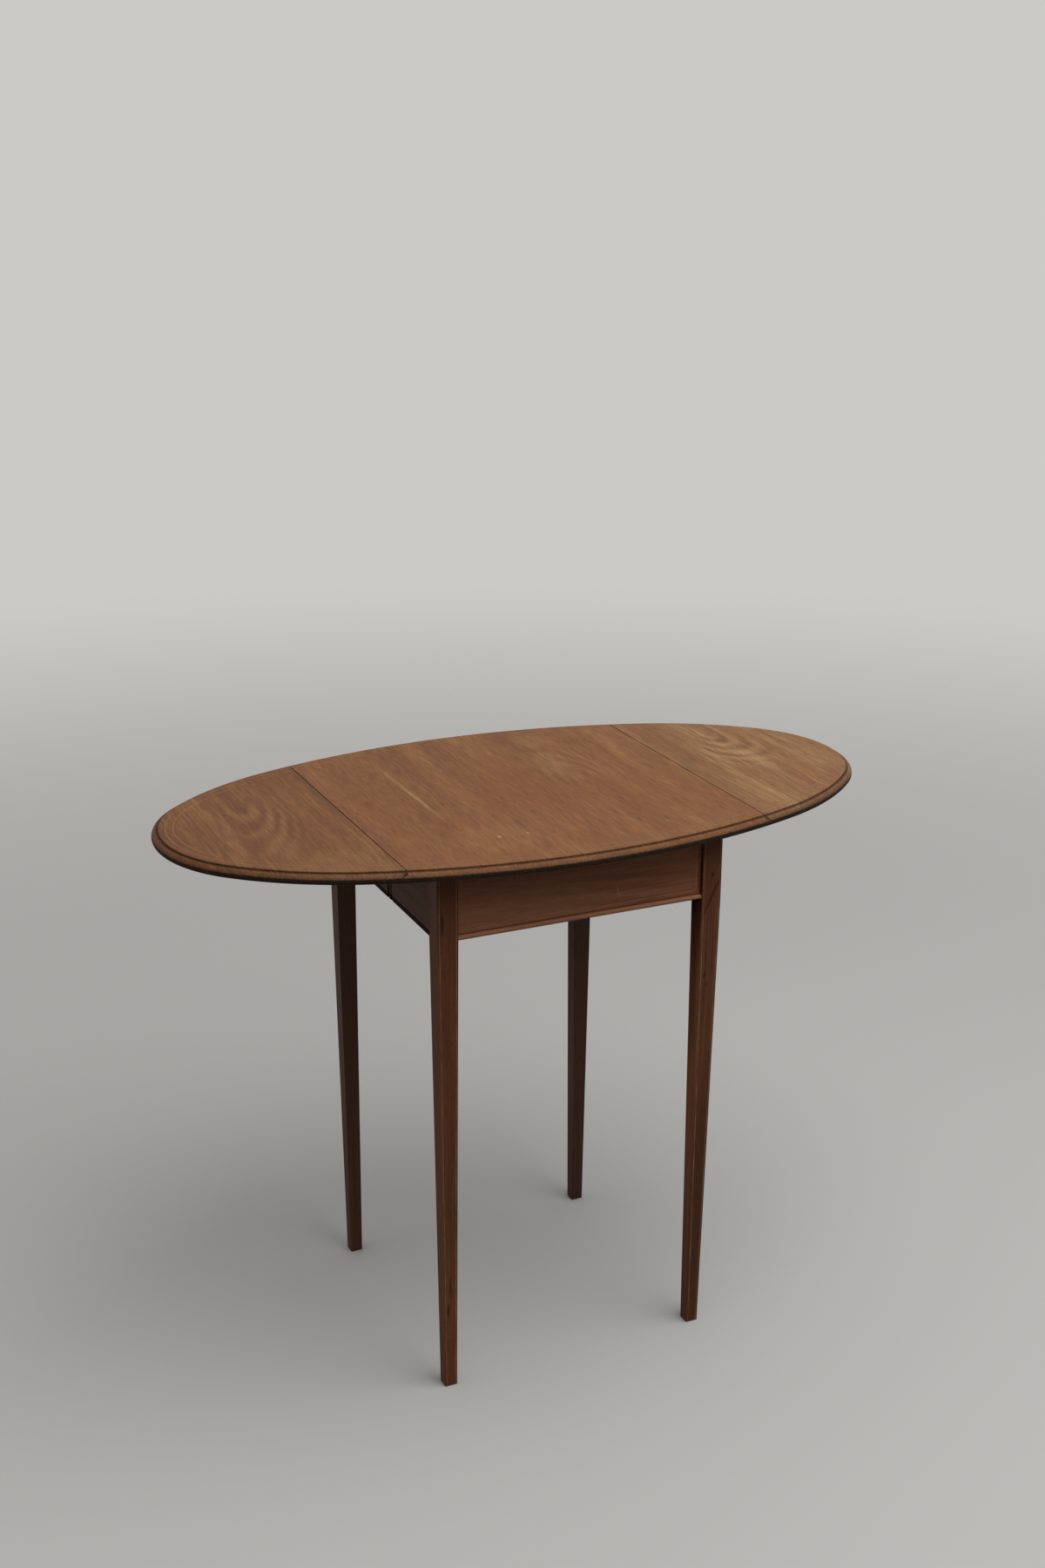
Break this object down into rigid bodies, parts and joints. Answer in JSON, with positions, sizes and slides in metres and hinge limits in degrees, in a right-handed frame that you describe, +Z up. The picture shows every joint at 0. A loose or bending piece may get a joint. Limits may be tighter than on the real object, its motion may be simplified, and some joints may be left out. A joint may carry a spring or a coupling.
{
  "type": "butterfly table",
  "caption": "Oval drop-leaf occasional table with rule-jointed leaves, hinged fly brackets in the side rails and square tapered legs.",
  "frame": {"origin": "on the floor under the middle of the oval top", "axes": "+X along the oval's long axis, +Y to the back, +Z up"},
  "size_m": [0.914, 0.4898, 0.7],
  "materials": {
    "top_mahogany": "satin polished mahogany",
    "frame_mahogany": "satin polished dark mahogany",
    "carcass_wood": "unpolished inner wood",
    "stringing": "polished boxwood line",
    "hinge_brass": "aged brass",
    "pin_steel": "plain steel"
  },
  "bodies": {
    "frame": {"apron_back": "frame_mahogany", "apron_front": "frame_mahogany", "apron_stringing_back": "stringing", "apron_stringing_front": "stringing", "bead_back": "frame_mahogany", "bead_front": "frame_mahogany", "corner_blocks": "carcass_wood", "fly_blocks": "frame_mahogany", "hinge_plates_centre": "hinge_brass", "knuckle_pins": "pin_steel", "leg_back_left": "frame_mahogany", "leg_back_right": "frame_mahogany", "leg_front_left": "frame_mahogany", "leg_front_right": "frame_mahogany", "side_rail_left": "carcass_wood", "side_rail_right": "carcass_wood", "stringing_centre": "stringing", "top_buttons": "carcass_wood", "top_centre": "top_mahogany"},
    "leaf_left": {"hinge_plates_left": "hinge_brass", "leaf_left": "top_mahogany", "stringing_left": "stringing"},
    "leaf_right": {"hinge_plates_right": "hinge_brass", "leaf_right": "top_mahogany", "stringing_right": "stringing"},
    "bracket_front_left": {"fly_bracket_front_left": "frame_mahogany"},
    "bracket_front_right": {"fly_bracket_front_right": "frame_mahogany"},
    "bracket_back_left": {"fly_bracket_back_left": "frame_mahogany"},
    "bracket_back_right": {"fly_bracket_back_right": "frame_mahogany"}
  },
  "joints": [
    {"name": "leaf_left_drop", "type": "hinge", "parent": "frame", "child": "leaf_left", "pos_m": [-0.229, 0, 0.6887], "axis": [0, -1, 0], "range_deg": [0, 90]},
    {"name": "leaf_right_drop", "type": "hinge", "parent": "frame", "child": "leaf_right", "pos_m": [0.229, 0, 0.6887], "axis": [0, 1, 0], "range_deg": [0, 90]},
    {"name": "bracket_front_left_swing", "type": "hinge", "parent": "frame", "child": "bracket_front_left", "pos_m": [-0.1765, -0.03, 0.6395], "axis": [0, 0, 1], "range_deg": [-90, 0]},
    {"name": "bracket_front_right_swing", "type": "hinge", "parent": "frame", "child": "bracket_front_right", "pos_m": [0.1765, -0.03, 0.6395], "axis": [0, 0, -1], "range_deg": [-90, 0]},
    {"name": "bracket_back_left_swing", "type": "hinge", "parent": "frame", "child": "bracket_back_left", "pos_m": [-0.1765, 0.03, 0.6395], "axis": [0, 0, -1], "range_deg": [-90, 0]},
    {"name": "bracket_back_right_swing", "type": "hinge", "parent": "frame", "child": "bracket_back_right", "pos_m": [0.1765, 0.03, 0.6395], "axis": [0, 0, 1], "range_deg": [-90, 0]}
  ]
}
